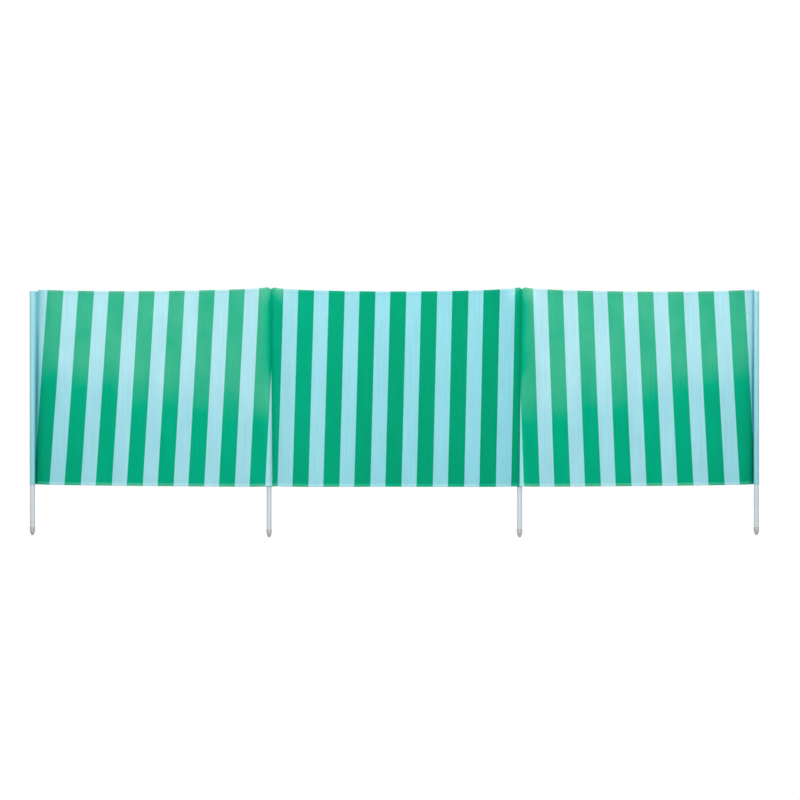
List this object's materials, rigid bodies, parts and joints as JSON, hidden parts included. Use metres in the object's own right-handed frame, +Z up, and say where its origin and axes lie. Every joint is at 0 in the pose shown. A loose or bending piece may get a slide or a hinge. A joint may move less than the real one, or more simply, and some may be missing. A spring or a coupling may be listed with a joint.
{
  "type": "beach windbreak",
  "caption": "Striped cloth windbreak in bays, its sleeves slipped over pale round poles whose pointed plastic tips are pushed into sand.",
  "frame": {"origin": "centre of the blunt end face of the left end pole's ground tip", "axes": "+X along the line of the two end poles, +Y to the side on which the middle poles' sleeves stand behind the cloth, +Z up the poles"},
  "size_m": [2.9666, 0.112, 0.998],
  "materials": {
    "striped_cloth": "thin printed polyester with a satin face, vertical green and pale blue stripes",
    "hem_cloth": "the same cloth folded over and sewn down, stripes running through",
    "sleeve_cloth": "the same cloth in its pale blue print, satin",
    "pole_paint": "smooth pale bluish-white coating, semi-gloss",
    "tip_plastic": "moulded pale grey plastic, slightly greenish"
  },
  "bodies": {
    "root": {"pole_left_end": "pole_paint", "pole_left_middle": "pole_paint", "pole_right_middle": "pole_paint", "pole_right_end": "pole_paint", "tip_left_end": "tip_plastic", "tip_left_middle": "tip_plastic", "tip_right_middle": "tip_plastic", "tip_right_end": "tip_plastic", "sleeve_left_end": "sleeve_cloth", "sleeve_left_middle": "sleeve_cloth", "sleeve_right_middle": "sleeve_cloth", "sleeve_right_end": "sleeve_cloth", "seam_left_end": "sleeve_cloth", "seam_right_end": "sleeve_cloth", "bay_left": "striped_cloth", "bay_middle": "striped_cloth", "bay_right": "striped_cloth", "top_hem_left": "hem_cloth", "top_hem_middle": "hem_cloth", "top_hem_right": "hem_cloth", "bottom_hem_left": "hem_cloth", "bottom_hem_middle": "hem_cloth", "bottom_hem_right": "hem_cloth"}
  },
  "joints": []
}
